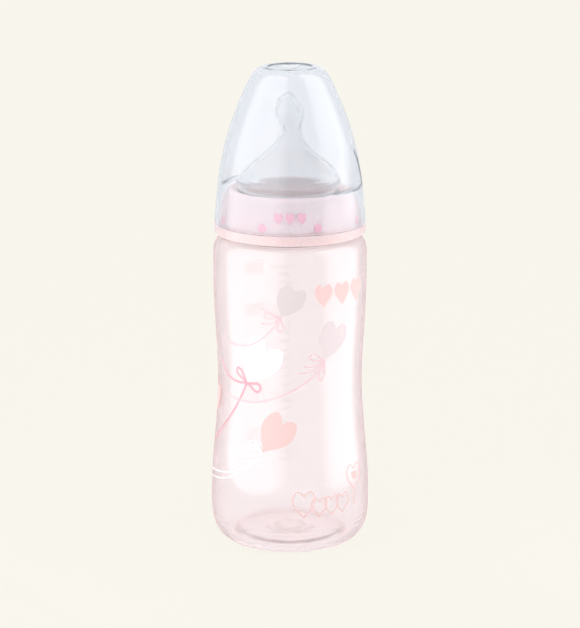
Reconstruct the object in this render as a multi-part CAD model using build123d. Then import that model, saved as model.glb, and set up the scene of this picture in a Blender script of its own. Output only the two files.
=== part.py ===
from build123d import *
import math
import os

# A wide-neck baby bottle that stands on its foot ring. Millimetres, +Z up, origin at the centre
# of the foot. The front, with the printed balloon hearts, faces -Y. Azimuths are in degrees,
# from the front towards +X.

# Bottle: radii and the heights that they are found at
FOOT_R = 25.3
FOOT_WIDTH = 2.0
PUSH_UP = 1.8
BELLY_R, BELLY_Z = 33.1, 20.0
WAIST_R, WAIST_Z = 30.1, 68.0
CHEST_R, CHEST_Z = 31.8, 113.0
SHOULDER_Z, SHOULDER_ROUND = 124.0, 7.5
WALL = 1.5
BELLY_FILL_ML = 51.7  # what the bottle holds below its belly's widest point
NECK_R, NECK_BORE_R = 25.2, 23.4
LIP_Z, LIP_ROUND = 145.4, 0.6

# Screw thread between the neck and the ring
PITCH = 6.0
NECK_THREAD_TURNS, NECK_THREAD_Z = 4 / 3, 133.7
RING_THREAD_TURNS, RING_THREAD_Z = 1.25, 133.2
THREAD_DROP = 2.0  # how far the ring's ridge lies below the neck's, at the same azimuth
THREAD_FOOT, THREAD_TIP, THREAD_SUNK = 2.6, 1.2, 0.6
NECK_CREST_R = NECK_R + 1.3

# Screw ring
BAND_R, BAND_Z, BAND_TOP_Z = 31.3, 131.5, 135.7
BAND_ROUND, BAND_EDGE = 0.9, 0.4  # of its lower and upper corners
SKIRT_R = 29.1
RING_BORE_R = 27.0
RING_CREST_R = RING_BORE_R - 1.4
CREST_R, CREST_Z = 24.4, 150.1
MOUTH_R, MOUTH_Z = 21.5, 149.2
SEAL_R, SEAL_Z = 25.6, 147.6
NUB_COUNT, NUB_R, NUB_Z, NUB_FACE = 8, 1.9, 138.5, 29.35
NUB_SUNK = 1.0

# Teat
FLANGE_R, FLANGE_THICKNESS = 25.2, 2.0
GROOVE_R = 21.2
DOME_R, DOME_Z = 22.2, 152.6
TEAT_WALL = 1.5
TEAT_TOP_Z = 189.3
VENT_R, FEED_HOLE_R = 0.6, 0.5
TIP_SHRINK = 0.3  # the small oval that closes the nipple, next to the one below it

# Protective cap
CAP_RIM_R, CAP_RIM_Z = 31.1, 135.8
CAP_WALL = 1.2
CAP_TOP_Z, CAP_TOP_R = 200.0, 10.4
RECESS_R, RECESS_DEPTH = 9.2, 0.4
GRIP_AZIMUTH, GRIP_FACE, GRIP_Z = 61.5, 26.6, 151.4
GRIP_WALL = 1.0

# Gap between flat faces that press on each other through the teat's flange
FACE_GAP = 0.1

# Printed ink films on the bottle. A heart is given by the azimuth and height of its tip, its
# size and its tilt to the right, a string by (azimuth, height) points, and a bow by its knot's
# azimuth and height and its tilt.
FILM = 0.2
STRING_WIDTH = 0.8
ROSE_HEARTS = [(-6.9, 102.3, 14.0, 27), (27.7, 83.3, 16.3, 21)]
WHITE_HEARTS = [(-35.6, 73.2, 21.0, 32)]
CORAL_HEARTS = [(-21.3, 44.7, 18.0, 33), (-97.0, 52.0, 18.0, 24)]
PINK_STRINGS = [
    [(-10.0, 99.6), (-19.4, 94.5), (-35.6, 89.3), (-58.7, 85.5)],
    [(24.5, 80.6), (12.3, 75.3), (-0.3, 71.3), (-16.5, 67.5), (-34.6, 65.1), (-57.9, 64.0)],
    [(-36.8, 71.0), (-44.0, 64.7), (-56.3, 55.6), (-72.0, 46.5)],
]
WHITE_STRINGS = [[(-23.5, 43.0), (-32.4, 39.2), (-58.5, 32.7), (-74.0, 30.4)]]
PINK_BOWS = [(-8.0, 100.6, 28), (26.5, 81.8, 22), (-36.0, 72.0, 32)]
WHITE_BOWS = [(-22.0, 43.6, 34)]
BOW_LOOP, BOW_LOOP_HALF = 5.0, 1.3
SCALE_STEP_ML, SCALE_FROM_ML, SCALE_TO_ML = 10, 60, 300
SCALE_LONG_ML, SCALE_LONG_WIDTH, SCALE_WIDTH = 50, 9.0, 5.0
SCALE_MARK_HEIGHT = 0.6


def turned(outline):
    """Solid of revolution about Z from a closed outline of (radius, height) edges."""
    return revolve(Plane.XZ * make_face(outline), Axis.Z)


def facing(azimuth, height=0.0, distance=0.0):
    """Upright plane that looks outwards at an azimuth, with its x to the right and y up."""
    angle = math.radians(azimuth)
    outward = Vector(math.sin(angle), -math.cos(angle), 0)
    along = Vector(math.cos(angle), math.sin(angle), 0)
    return Plane(origin=outward * distance + Vector(0, 0, height), x_dir=along, z_dir=outward)


def thread(root_r, crest_r, start_z, turns, start_azimuth=0.0):
    """Helical ridge with a trapezium section, sunk a little into the wall that carries it."""
    depth = crest_r - root_r
    sunk = -math.copysign(THREAD_SUNK, depth)
    slope = (THREAD_FOOT - THREAD_TIP) / 2 / abs(depth)
    sunk_half = THREAD_FOOT / 2 + slope * THREAD_SUNK
    path = Helix(pitch=PITCH, height=PITCH * turns, radius=root_r, center=(0, 0, start_z))
    section = Polyline(
        (sunk, -sunk_half),
        (sunk, sunk_half),
        (depth, THREAD_TIP / 2),
        (depth, -THREAD_TIP / 2),
        close=True,
    )
    start = Plane(origin=path @ 0, x_dir=(1, 0, 0), z_dir=path % 0)
    ridge = sweep(start * make_face(section), path=path, is_frenet=True)
    return Rot(0, 0, start_azimuth) * ridge


def bottle_side(inset):
    """Edges of the bottle's side, from the belly up to the top of the shoulder's round."""
    belly = (BELLY_R - inset, BELLY_Z)
    waist = (WAIST_R - inset, WAIST_Z)
    chest = (CHEST_R - inset, CHEST_Z)
    round_r = SHOULDER_ROUND - inset
    centre = (CHEST_R - SHOULDER_ROUND, SHOULDER_Z)
    below_waist = ((belly[0] + waist[0]) / 2, (BELLY_Z + WAIST_Z) / 2)
    above_waist = ((waist[0] + chest[0]) / 2, (WAIST_Z + CHEST_Z) / 2)
    up = (0, 1)
    return [
        Spline(belly, below_waist, waist, above_waist, chest, tangents=[up, up]),
        Line(chest, (chest[0], SHOULDER_Z)),
        CenterArc(centre, round_r, 0, 90),
    ]


def make_bottle():
    """Bottle with a recessed base, a waist to hold it by, and a threaded neck."""
    shoulder_x = CHEST_R - SHOULDER_ROUND
    shoulder_top = SHOULDER_Z + SHOULDER_ROUND
    foot_in_r = FOOT_R - FOOT_WIDTH
    outer_belly = (BELLY_R, BELLY_Z)
    outer = [
        Line((0, PUSH_UP), (foot_in_r - 2, PUSH_UP)),
        Spline((foot_in_r - 2, PUSH_UP), (foot_in_r, 0), tangents=[(1, 0), (1, -0.6)]),
        Line((foot_in_r, 0), (FOOT_R, 0)),
        Spline((FOOT_R, 0), (30.0, 3.0), (32.3, 7.8), outer_belly, tangents=[(1, 0.2), (0, 1)]),
        *bottle_side(0),
        Line((shoulder_x, shoulder_top), (0, shoulder_top)),
        Line((0, shoulder_top), (0, PUSH_UP)),
    ]
    floor_z = PUSH_UP + WALL
    trough = (foot_in_r + 0.9, WALL + 0.1)
    inner_belly = (BELLY_R - WALL, BELLY_Z)
    inner = [
        Line((0, floor_z), (foot_in_r - 2.6, floor_z)),
        Spline((foot_in_r - 2.6, floor_z), trough, tangents=[(1, 0), (1, 0)]),
        Spline(trough, (28.9, 4.2), (30.9, 8.4), inner_belly, tangents=[(1, 0), (0, 1)]),
        *bottle_side(WALL),
        Line((shoulder_x, shoulder_top - WALL), (0, shoulder_top - WALL)),
        Line((0, shoulder_top - WALL), (0, floor_z)),
    ]
    neck_base = shoulder_top - SHOULDER_ROUND / 2
    neck = Cylinder(NECK_R, LIP_Z - neck_base, align=(Align.CENTER, Align.CENTER, Align.MIN))
    neck = Pos(0, 0, neck_base) * neck
    neck += thread(NECK_R, NECK_CREST_R, NECK_THREAD_Z, NECK_THREAD_TURNS)
    bore = Pos(0, 0, LIP_Z) * Cylinder(NECK_BORE_R, 40)
    bottle = turned(outer) + neck - turned(inner) - bore
    lip = bottle.edges().filter_by(GeomType.CIRCLE).filter_by_position(Axis.Z, LIP_Z, LIP_Z)
    return fillet(lip, LIP_ROUND)


def make_ring():
    """Screw ring: a band under the cap, a domed skirt, and a mouth that holds the teat."""
    skirt_z = BAND_TOP_Z + 0.6
    low_in, low_up = (BAND_R - BAND_ROUND, BAND_Z), (BAND_R, BAND_Z + BAND_ROUND)
    top_up, top_in = (BAND_R, BAND_TOP_Z - BAND_EDGE), (BAND_R - BAND_EDGE, BAND_TOP_Z)
    outer = [
        Line((RING_BORE_R, BAND_Z), low_in),
        RadiusArc(low_in, low_up, -BAND_ROUND),
        Line(low_up, top_up),
        RadiusArc(top_up, top_in, -BAND_EDGE),
        Line(top_in, (SKIRT_R + 0.3, BAND_TOP_Z)),
        Line((SKIRT_R + 0.3, BAND_TOP_Z), (SKIRT_R, skirt_z)),
        Spline(
            (SKIRT_R, skirt_z),
            (28.9, 140.0),
            (27.9, 144.7),
            (26.7, 147.4),
            (CREST_R, CREST_Z),
            tangents=[(0, 1), (-1, 0)],
        ),
        Line((CREST_R, CREST_Z), (CREST_R - 0.6, CREST_Z)),
        Line((CREST_R - 0.6, CREST_Z), (MOUTH_R + 0.3, MOUTH_Z)),
        Line((MOUTH_R + 0.3, MOUTH_Z), (MOUTH_R, MOUTH_Z - 0.4)),
        Line((MOUTH_R, MOUTH_Z - 0.4), (MOUTH_R, SEAL_Z)),
        Line((MOUTH_R, SEAL_Z), (SEAL_R, SEAL_Z)),
        Line((SEAL_R, SEAL_Z), (SEAL_R, SEAL_Z - 2.4)),
        Line((SEAL_R, SEAL_Z - 2.4), (RING_BORE_R, SEAL_Z - 4.2)),
        Line((RING_BORE_R, SEAL_Z - 4.2), (RING_BORE_R, BAND_Z)),
    ]
    # On one helix, the azimuth follows from the height: a turn for each pitch.
    start_turn = (RING_THREAD_Z + THREAD_DROP - NECK_THREAD_Z) / PITCH
    ring = turned(outer)
    ring += thread(RING_BORE_R, RING_CREST_R, RING_THREAD_Z, RING_THREAD_TURNS, 360 * start_turn)
    nub_height = NUB_Z - BAND_TOP_Z + 0.3
    nub_leg = Rectangle(2 * NUB_R, nub_height, align=(Align.CENTER, Align.MAX))
    nub_outline = Circle(NUB_R) + nub_leg
    for index in range(NUB_COUNT):
        azimuth = (index + 0.5) * 360 / NUB_COUNT
        ring += extrude(facing(azimuth, NUB_Z, NUB_FACE) * nub_outline, -NUB_SUNK)
    return ring


def teat_section(height, left, right, depth, inset=0.0):
    """Oval slice of the nipple: its reach to -X and +X, and its half depth along Y."""
    oval = Ellipse((right - left) / 2 - inset, depth - inset)
    return Pos((left + right) / 2, 0, height) * oval


def teat_skin(inset):
    """Flared dome and orthodontic nipple, as one loft of oval slices, `inset` inside the skin."""
    slices = [
        (DOME_Z, -DOME_R, DOME_R, DOME_R),
        (155.0, -21.0, 21.0, 21.0),
        (158.0, -18.1, 18.1, 18.1),
        (161.2, -14.4, 14.4, 14.4),
        (164.6, -10.3, 10.1, 10.4),
        (167.8, -6.9, 6.9, 7.7),
        (171.0, -4.4, 5.0, 6.0),
        (174.0, -3.4, 4.8, 5.5),
        (177.2, -4.9, 5.3, 6.3),
        (181.2, -6.8, 5.8, 7.6),
        (184.4, -6.1, 4.3, 7.2),
        (186.8, -4.6, 3.2, 5.7),
        (188.4, -2.9, 2.4, 3.7),
    ]
    top_z = TEAT_TOP_Z - inset
    kept = [cut for cut in slices if cut[0] <= top_z - 0.9]
    sections = [teat_section(*cut, inset) for cut in kept]
    left, right, depth = [TIP_SHRINK * reach for reach in kept[-1][1:]]
    return loft(sections + [teat_section(top_z, left, right, depth)])


def make_teat():
    """Silicone teat: a flange under the ring, a groove for its mouth, a dome and a nipple."""
    flange_top = SEAL_Z - FACE_GAP
    flange_z = flange_top - FLANGE_THICKNESS
    neck_top = MOUTH_Z + 0.5
    outer = [
        Line((0, flange_z), (FLANGE_R, flange_z)),
        Line((FLANGE_R, flange_z), (FLANGE_R, flange_top)),
        Line((FLANGE_R, flange_top), (GROOVE_R, flange_top)),
        Line((GROOVE_R, flange_top), (GROOVE_R, neck_top)),
        Spline((GROOVE_R, neck_top), (DOME_R, DOME_Z), tangents=[(1, 0.6), (0, 1)]),
        Line((DOME_R, DOME_Z), (0, DOME_Z)),
        Line((0, DOME_Z), (0, flange_z)),
    ]
    inner_r = GROOVE_R - TEAT_WALL
    inner_top = (DOME_R - TEAT_WALL, DOME_Z)
    inner = [
        Line((0, flange_z), (inner_r, flange_z)),
        Line((inner_r, flange_z), (inner_r, neck_top)),
        Spline((inner_r, neck_top), inner_top, tangents=[(0.4, 1), (0, 1)]),
        Line(inner_top, (0, DOME_Z)),
        Line((0, DOME_Z), (0, flange_z)),
    ]
    teat = turned(outer) + teat_skin(0) - turned(inner) - teat_skin(TEAT_WALL)
    vent_r = (FLANGE_R + GROOVE_R) / 2
    teat -= Pos(0, -vent_r, flange_z) * Cylinder(VENT_R, 3 * FLANGE_THICKNESS)
    teat -= Pos(0, 0, TEAT_TOP_Z) * Cylinder(FEED_HOLE_R, 6)
    return teat


def cap_outline(inset):
    """Closed outline of the cap's dome, moved `inset` in along the surface's normal."""
    side = [
        (CAP_RIM_R, CAP_RIM_Z),
        (30.75, 141.0),
        (29.95, 150.0),
        (28.5, 160.0),
        (26.3, 170.0),
        (23.1, 180.0),
        (19.4, 189.0),
        (16.2, 195.5),
        (14.3, 198.2),
        (12.4, 199.5),
        (CAP_TOP_R, CAP_TOP_Z),
    ]
    outer = Spline(*side, tangents=[(0, 1), (-1, 0)])
    if inset:
        steps = [0.0, 0.15, 0.3, 0.45, 0.6, 0.72, 0.82, 0.92, 1.0]
        points = [outer @ t + Vector(0, 0, 1).cross(outer % t) * inset for t in steps]
        outer = Spline(*points, tangents=[(0, 1), (-1, 0)])
    start, end = outer @ 0, outer @ 1
    return [
        outer,
        Line(end, (0, end.Y)),
        Line((0, end.Y), (0, start.Y)),
        Line((0, start.Y), start),
    ]


def grip_cut(face_distance, floor_z):
    """Two blocks, opposite each other, that leave a flat face with a ledge below it."""
    cut = Box(60, 60, 60, align=(Align.CENTER, Align.MIN, Align.MIN))
    front = facing(GRIP_AZIMUTH, floor_z, face_distance) * cut
    return front + Rot(0, 0, 180) * front


def make_cap():
    """Clear domed cap with two flat finger grips and a shallow round recess on top."""
    shell = turned(cap_outline(0)) - grip_cut(GRIP_FACE, GRIP_Z)
    core = turned(cap_outline(CAP_WALL)) - grip_cut(GRIP_FACE - GRIP_WALL, GRIP_Z - GRIP_WALL)
    recess = Pos(0, 0, CAP_TOP_Z) * Cylinder(RECESS_R, 2 * RECESS_DEPTH)
    return shell - core - recess


def ink_skin():
    """Thin shell just outside the bottle's side, from the belly up to the shoulder."""
    layers = []
    for inset in (-FILM, 0):  # its outer face, then the bottle's own
        side, straight = bottle_side(inset)[:2]
        rim = Line(straight @ 1, (WAIST_R / 2, SHOULDER_Z))
        base = Line((WAIST_R / 2, BELLY_Z), side @ 0)
        layers.append(turned([side, straight, rim, Line(rim @ 1, base @ 0), base]))
    return layers[0] - layers[1]


def heart(azimuth, height, size, tilt):
    """Block in the shape of a heart that stands on its tip, to be cut from the ink's skin."""
    half = 0.39 * size
    right = Spline(
        (0, 0), (half, 0.66 * size), (0.56 * half, size), (0, 0.8 * size),
        tangents=[(0.55, 1), (-0.3, -1)],
    )
    outline = make_face([right, mirror(right, Plane.YZ)])
    lean = size / 2 * math.sin(math.radians(tilt))
    middle = azimuth + math.degrees(lean / WAIST_R)
    return extrude(facing(middle, height) * Pos(-lean, 0) * Rot(0, 0, -tilt) * outline, 2 * BELLY_R)


def string(points):
    """Block in the shape of a thin line through points of the bottle's front."""
    flat = [(WAIST_R * math.sin(math.radians(azimuth)), height) for azimuth, height in points]
    return extrude(Plane.XZ * trace(Spline(*flat), STRING_WIDTH), 2 * BELLY_R)


def bow(azimuth, height, tilt):
    """Block in the shape of a bow: two open loops that meet in a knot."""
    loop = Ellipse(BOW_LOOP / 2, BOW_LOOP_HALF)
    loop -= Ellipse(BOW_LOOP / 2 - STRING_WIDTH * 0.8, BOW_LOOP_HALF - STRING_WIDTH * 0.8)
    outline = Circle(STRING_WIDTH)
    for turn in (145, 35):
        outline += Rot(0, 0, turn - tilt) * Pos(BOW_LOOP / 2, 0) * loop
    return extrude(facing(azimuth, height) * outline, 2 * BELLY_R)


def fill_height(volume_ml):
    """Height that a volume of liquid reaches in the bottle, in the waisted part."""
    side = bottle_side(WALL)[0]
    level, filled = BELLY_Z, BELLY_FILL_ML * 1000
    steps = 400
    for step in range(1, steps + 1):
        point = side @ (step / steps)
        filled += math.pi * point.X**2 * (point.Y - level)
        level = point.Y
        if filled >= volume_ml * 1000:
            break
    return level


def volume_scale():
    """Blocks of the scale's marks on the back, with a longer one every 50 ml."""
    marks = []
    for volume in range(SCALE_FROM_ML, SCALE_TO_ML + 1, SCALE_STEP_ML):
        width = SCALE_WIDTH if volume % SCALE_LONG_ML else SCALE_LONG_WIDTH
        mark = Rectangle(width, SCALE_MARK_HEIGHT, align=(Align.MIN, Align.CENTER))
        marks.append(extrude(facing(180, fill_height(volume)) * mark, 2 * BELLY_R))
    return marks


def make_prints():
    """Ink films by colour, each a group of thin solids that lie on the bottle's side."""
    skin = ink_skin()
    rose = [heart(*h) for h in ROSE_HEARTS]
    white = [heart(*h) for h in WHITE_HEARTS]
    coral = [heart(*h) for h in CORAL_HEARTS]
    pink = [string(p) for p in PINK_STRINGS] + [bow(*b) for b in PINK_BOWS]
    threads = [string(p) for p in WHITE_STRINGS] + [bow(*b) for b in WHITE_BOWS]
    scale = volume_scale()
    hearts = rose + white + coral
    return {
        "print_rose_hearts": skin & (rose[0] + rose[1:]),
        "print_white_heart": skin & white[0],
        "print_coral_hearts": skin & (coral[0] + coral[1:]),
        "print_pink_strings": skin & (pink[0] + pink[1:] - hearts),
        "print_white_strings": skin & (threads[0] + threads[1:] - hearts - pink),
        "print_volume_scale": skin & (scale[0] + scale[1:]),
    }


def main():
    """Writes one STEP file for each piece."""
    pieces = {
        "bottle": make_bottle(),
        "screw_ring": make_ring(),
        "teat": make_teat(),
        "protective_cap": make_cap(),
        **make_prints(),
    }
    os.makedirs("parts", exist_ok=True)
    for name, piece in pieces.items():
        export_step(piece, f"parts/{name}.step")
        print(name, round(piece.volume), piece.is_valid, piece.bounding_box())


main()
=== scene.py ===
"""Wide-neck baby bottle: a printed pink bottle, a screw ring, a silicone teat and a clear cap.

Sizes are in millimetres until a mesh is finished, with +Z up from the surface that the bottle
stands on. An azimuth is in degrees, from the front (-Y) towards +X. A half section is a row of
(radius, height) points.
"""
import logging
import math
from collections.abc import Sequence
from dataclasses import dataclass, field
from enum import Enum

import bmesh
import bpy
import numpy as np
from mathutils import Matrix, Vector


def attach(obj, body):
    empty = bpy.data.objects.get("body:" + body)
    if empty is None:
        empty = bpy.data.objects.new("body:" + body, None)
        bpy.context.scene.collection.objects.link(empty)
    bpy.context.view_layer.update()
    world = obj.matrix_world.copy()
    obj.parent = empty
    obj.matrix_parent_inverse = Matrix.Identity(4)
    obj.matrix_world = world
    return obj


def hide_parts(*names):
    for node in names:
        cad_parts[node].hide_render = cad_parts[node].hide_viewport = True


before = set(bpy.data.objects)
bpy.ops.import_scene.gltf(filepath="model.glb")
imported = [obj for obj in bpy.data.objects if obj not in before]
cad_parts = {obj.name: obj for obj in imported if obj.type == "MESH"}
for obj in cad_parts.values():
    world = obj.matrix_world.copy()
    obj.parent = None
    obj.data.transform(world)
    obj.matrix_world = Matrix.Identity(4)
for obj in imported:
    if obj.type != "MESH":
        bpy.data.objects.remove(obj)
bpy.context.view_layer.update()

MM = 0.001
SMOOTH_UNDER = math.radians(32)  # an edge that bends less than this is shaded smooth
AROUND = 160  # points round a turned piece
ARC_STEP = 12  # degrees between the points of a rounded corner, about
LONG_STRAIGHT = 1.2  # a straight longer than this gets an extra point by the bend at each end
BEND_GAP = 0.15  # how far from the bend that point is
SAME_HEADING = 0.9985  # cosine of the greatest angle that doesn't count as a bend
MERGED_UNDER = 1e-4  # points closer than this become one
DROPPED_UNDER = 1e-5  # edges shorter than this are dropped

Point = Sequence[float]
log = logging.getLogger("baby_bottle")


class Body(Enum):
    """The bodies of the frame that a piece can ride on."""

    BOTTLE = "bottle"
    TEAT = "teat"
    RING = "ring"
    CAP = "cap"


class Slot(Enum):
    """The record's material slots."""

    BOTTLE = "bottle"
    RING = "ring"
    TEAT = "teat"
    CAP = "cap"
    INK_ROSE = "ink_rose"
    INK_WHITE = "ink_white"
    INK_CORAL = "ink_coral"
    INK_PINK = "ink_pink"


# ---------------------------------------------------------------------------------- outlines


def polar(azimuth: float, radius: float, height: float) -> Vector:
    """Point at an azimuth, a distance from the bottle's axis and a height."""
    angle = math.radians(azimuth)
    return Vector((radius * math.sin(angle), -radius * math.cos(angle), height))


def smooth_curve(
    knots: Sequence[Point],
    start: Point | None = None,
    end: Point | None = None,
    per_span: int = 6,
) -> list[np.ndarray]:
    """Points along the cubic spline through some knots.

    Args:
        knots: What the curve passes through, in any number of dimensions.
        start: Direction that it leaves in, or None for a free end.
        end: Direction that it arrives in, or None for a free end.
        per_span: Points for each span between two knots.

    Returns:
        The points, from the first knot to the last.
    """
    fixed = np.array(knots, dtype=float)
    gaps = np.linalg.norm(np.diff(fixed, axis=0), axis=1)
    count = len(fixed)
    system = np.zeros((count, count))
    wanted = np.zeros_like(fixed)
    for row, direction, beside, gap in ((0, start, 1, gaps[0]), (count - 1, end, count - 2, gaps[-1])):
        if direction is None:
            system[row, row], system[row, beside] = 2, 1
            wanted[row] = 3 * (fixed[max(row, beside)] - fixed[min(row, beside)]) / gap
        else:
            system[row, row] = 1
            wanted[row] = np.array(direction, dtype=float) / np.linalg.norm(direction)
    for row in range(1, count - 1):
        before, after = gaps[row - 1], gaps[row]
        system[row, row - 1:row + 2] = after, 2 * (before + after), before
        rise_in, rise_out = fixed[row] - fixed[row - 1], fixed[row + 1] - fixed[row]
        wanted[row] = 3 * (after / before * rise_in + before / after * rise_out)
    slopes = np.linalg.solve(system, wanted)
    points = []
    for index, gap in enumerate(gaps):
        for step in range(per_span):
            t = step / per_span
            points.append(
                (1 + 2 * t) * (1 - t) ** 2 * fixed[index]
                + t * (1 - t) ** 2 * gap * slopes[index]
                + t**2 * (3 - 2 * t) * fixed[index + 1]
                + t**2 * (t - 1) * gap * slopes[index + 1]
            )
    return points + [fixed[-1]]


@dataclass
class HalfSection:
    """Half section of a turned piece, drawn corner by corner.

    Attributes:
        corners: Each corner's place and the radius that it is rounded with.
    """

    corners: list[tuple[np.ndarray, float]] = field(default_factory=list)

    def to(self, radius: float, height: float, rounding: float = 0.0) -> "HalfSection":
        """Goes on to a corner, and rounds it."""
        self.corners.append((np.array((radius, height), dtype=float), rounding))
        return self

    def curve(self, knots: Sequence[Point], start: Point, end: Point) -> "HalfSection":
        """Goes on along a smooth curve that leaves and arrives in the given directions."""
        self.corners += [(point, 0.0) for point in smooth_curve(knots, start, end)]
        return self

    def points(self) -> list[np.ndarray]:
        """The section's points, with each rounded corner as an arc."""
        made: list[np.ndarray] = []
        for index, (corner, rounding) in enumerate(self.corners):
            if rounding:
                before, after = self.corners[index - 1][0], self.corners[index + 1][0]
                made += rounded(before, corner, after, rounding)
            elif not made or np.linalg.norm(corner - made[-1]) > 1e-6:
                made.append(corner)
        return made


def rounded(before: np.ndarray, corner: np.ndarray, after: np.ndarray, radius: float) -> list[np.ndarray]:
    """Arc that replaces a corner.

    Args:
        before: The point before the corner.
        corner: The sharp corner.
        after: The point after the corner.
        radius: The arc's radius.

    Returns:
        Points on the arc, about ARC_STEP degrees apart.
    """
    back = (before - corner) / np.linalg.norm(before - corner)
    ahead = (after - corner) / np.linalg.norm(after - corner)
    half = math.acos(float(np.clip(back @ ahead, -1, 1))) / 2
    middle = (back + ahead) / np.linalg.norm(back + ahead)
    centre = corner + middle * radius / math.sin(half)
    first = corner + back * radius / math.tan(half) - centre
    last = corner + ahead * radius / math.tan(half) - centre
    sweep = math.pi - 2 * half
    steps = max(2, round(math.degrees(sweep) / ARC_STEP))
    arc = []
    for step in range(steps + 1):
        t = step / steps
        share = math.sin((1 - t) * sweep) * first + math.sin(t * sweep) * last
        arc.append(centre + share / math.sin(sweep))
    return arc


def supported(section: Sequence[Point]) -> list[np.ndarray]:
    """Adds a point close to each bend that ends a long straight, so that the straight is lit flat."""
    points = [np.array(point, dtype=float) for point in section]
    headings = [(b - a) / np.linalg.norm(b - a) for a, b in zip(points, points[1:])]
    made = [points[0]]
    for index, (before, after) in enumerate(zip(points, points[1:])):
        if np.linalg.norm(after - before) > LONG_STRAIGHT:
            if index and headings[index - 1] @ headings[index] < SAME_HEADING:
                made.append(before + BEND_GAP * headings[index])
            if index + 1 < len(headings) and headings[index] @ headings[index + 1] < SAME_HEADING:
                made.append(after - BEND_GAP * headings[index])
        made.append(after)
    return made


def turn(mesh: bmesh.types.BMesh, section: Sequence[Point], closed: bool = False) -> None:
    """Spins a half section once round the bottle's axis, and adds the surface to a mesh.

    Args:
        mesh: What the surface is added to.
        section: The (radius, height) points.
        closed: Whether the last point is joined to the first.
    """
    verts = [mesh.verts.new((radius, 0, height)) for radius, height in supported(section)]
    pairs = list(zip(verts, verts[1:])) + ([(verts[-1], verts[0])] if closed else [])
    edges = [mesh.edges.new(pair) for pair in pairs]
    bmesh.ops.spin(
        mesh, geom=verts + edges, cent=(0, 0, 0), axis=(0, 0, 1), dvec=(0, 0, 0),
        angle=2 * math.pi, steps=AROUND, use_merge=True,
    )


@dataclass(frozen=True)
class Thread:
    """Helical ridge of a screw thread, with faded ends.

    Attributes:
        root: Radius of the wall that carries it.
        crest: Radius of its top.
        start: Height of its lower end.
        turns: How often it goes round.
        azimuth: Where its lower end is, in degrees from +X.
        pitch: Rise for each turn.
        foot: Width where it meets the wall.
        tip: Width of its top.
        sunk: How far it reaches into the wall.
        per_turn: Steps for each turn.
    """

    root: float
    crest: float
    start: float
    turns: float
    azimuth: float = 0.0
    pitch: float = 6.0
    foot: float = 2.6
    tip: float = 1.2
    sunk: float = 0.3
    per_turn: int = 72

    def add_to(self, mesh: bmesh.types.BMesh) -> None:
        """Adds the ridge to a mesh, sunk a little into its wall."""
        sunk = self.root - math.copysign(self.sunk, self.crest - self.root)
        section = [
            (sunk, -self.foot / 2), (self.root, -self.foot / 2), (self.crest, -self.tip / 2),
            (self.crest, self.tip / 2), (self.root, self.foot / 2), (sunk, self.foot / 2),
        ]
        turning = Matrix.Rotation(math.radians(self.azimuth), 4, "Z")
        verts = [mesh.verts.new(turning @ Vector((r, 0, self.start + z))) for r, z in section]
        face = mesh.faces.new(verts)
        steps = round(self.per_turn * self.turns)
        spun = bmesh.ops.spin(
            mesh, geom=[face], cent=(0, 0, 0), axis=(0, 0, 1),
            dvec=(0, 0, self.pitch * self.turns / steps), angle=2 * math.pi * self.turns, steps=steps,
        )
        last = [item for item in spun["geom_last"] if isinstance(item, bmesh.types.BMVert)]
        for end in (verts, last):
            for vert in end:
                height = vert.co.z
                radius = math.hypot(vert.co.x, vert.co.y)
                vert.co *= sunk / radius
                vert.co.z = height


# ------------------------------------------------------------------------------------ meshes


def placed(mesh: bmesh.types.BMesh, name: str, material: bpy.types.Material) -> bpy.types.Object:
    """Makes an object of a mesh, which is used up, and puts it in the scene."""
    data = bpy.data.meshes.new(name)
    mesh.to_mesh(data)
    mesh.free()
    data.materials.append(material)
    made = bpy.data.objects.new(name, data)
    bpy.context.scene.collection.objects.link(made)
    return made


def finished(
    mesh: bmesh.types.BMesh,
    name: str,
    body: Body,
    material: bpy.types.Material,
    nodes: Sequence[str] = (),
) -> bpy.types.Object:
    """Makes an object of a mesh in millimetres, in its place and on its body.

    Args:
        mesh: The finished shape, which is used up.
        name: The piece's name.
        body: The body that it rides on.
        material: Its material.
        nodes: The CAD nodes that it stands for.

    Returns:
        The object.
    """
    bmesh.ops.remove_doubles(mesh, verts=mesh.verts, dist=MERGED_UNDER)
    bmesh.ops.dissolve_degenerate(mesh, edges=mesh.edges, dist=DROPPED_UNDER)
    bmesh.ops.recalc_face_normals(mesh, faces=mesh.faces)
    bmesh.ops.scale(mesh, vec=(MM, MM, MM), verts=mesh.verts)
    for face in mesh.faces:
        face.smooth = True
    for edge in mesh.edges:
        if edge.is_manifold and edge.calc_face_angle() > SMOOTH_UNDER:
            edge.smooth = False
    piece = placed(mesh, name, material)
    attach(piece, body.value)
    if nodes:
        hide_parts(*nodes)
    log.info("%s: %d faces, on %s", name, len(piece.data.polygons), body.value)
    return piece


def heart_outline(size: float, per_span: int = 7) -> list[Point]:
    """Points of a heart that stands on its tip at (0, 0), `size` high."""
    half = 0.39 * size
    right = smooth_curve(
        [(0, 0), (half, 0.66 * size), (0.56 * half, size), (0, 0.8 * size)],
        start=(0.55, 1), end=(-0.3, -1), per_span=per_span,
    )
    left = [(-x, y) for x, y in right[-2:0:-1]]
    return [(x, y) for x, y in right] + left


def add_flat(mesh: bmesh.types.BMesh, outline: Sequence[Point], move: Matrix) -> None:
    """Adds a flat face with an outline of (x, y) points, moved by a matrix."""
    verts = [mesh.verts.new(move @ Vector((x, y, 0))) for x, y in outline]
    mesh.faces.new(verts)


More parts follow.
